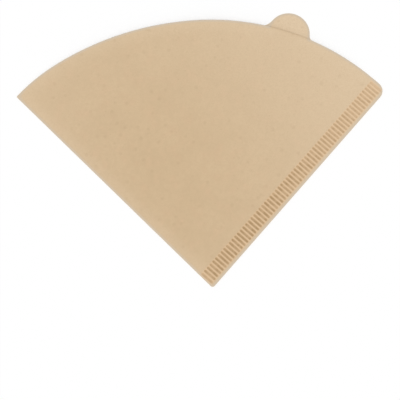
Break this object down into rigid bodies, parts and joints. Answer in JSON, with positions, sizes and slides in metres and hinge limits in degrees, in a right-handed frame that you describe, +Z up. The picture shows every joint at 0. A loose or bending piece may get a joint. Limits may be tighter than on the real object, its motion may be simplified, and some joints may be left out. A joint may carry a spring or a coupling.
{
  "type": "paper coffee filter",
  "caption": "Flat cone paper coffee filter: one folded sheet of unbleached paper with a crimped side seam, an arc-cut open mouth and a round pull tab.",
  "frame": {"origin": "centre of the bounding box, on the flat underside of the back ply", "axes": "+Z up from the back ply to the front ply, +Y from the closed tip towards the open mouth, +X from the folded edge towards the crimped seam"},
  "size_m": [0.1634, 0.122, 0.0016],
  "materials": {
    "unbleached_paper": "matt unbleached filter paper with fine fibres"
  },
  "bodies": {
    "root": {"filter_paper": "unbleached_paper"}
  },
  "joints": []
}
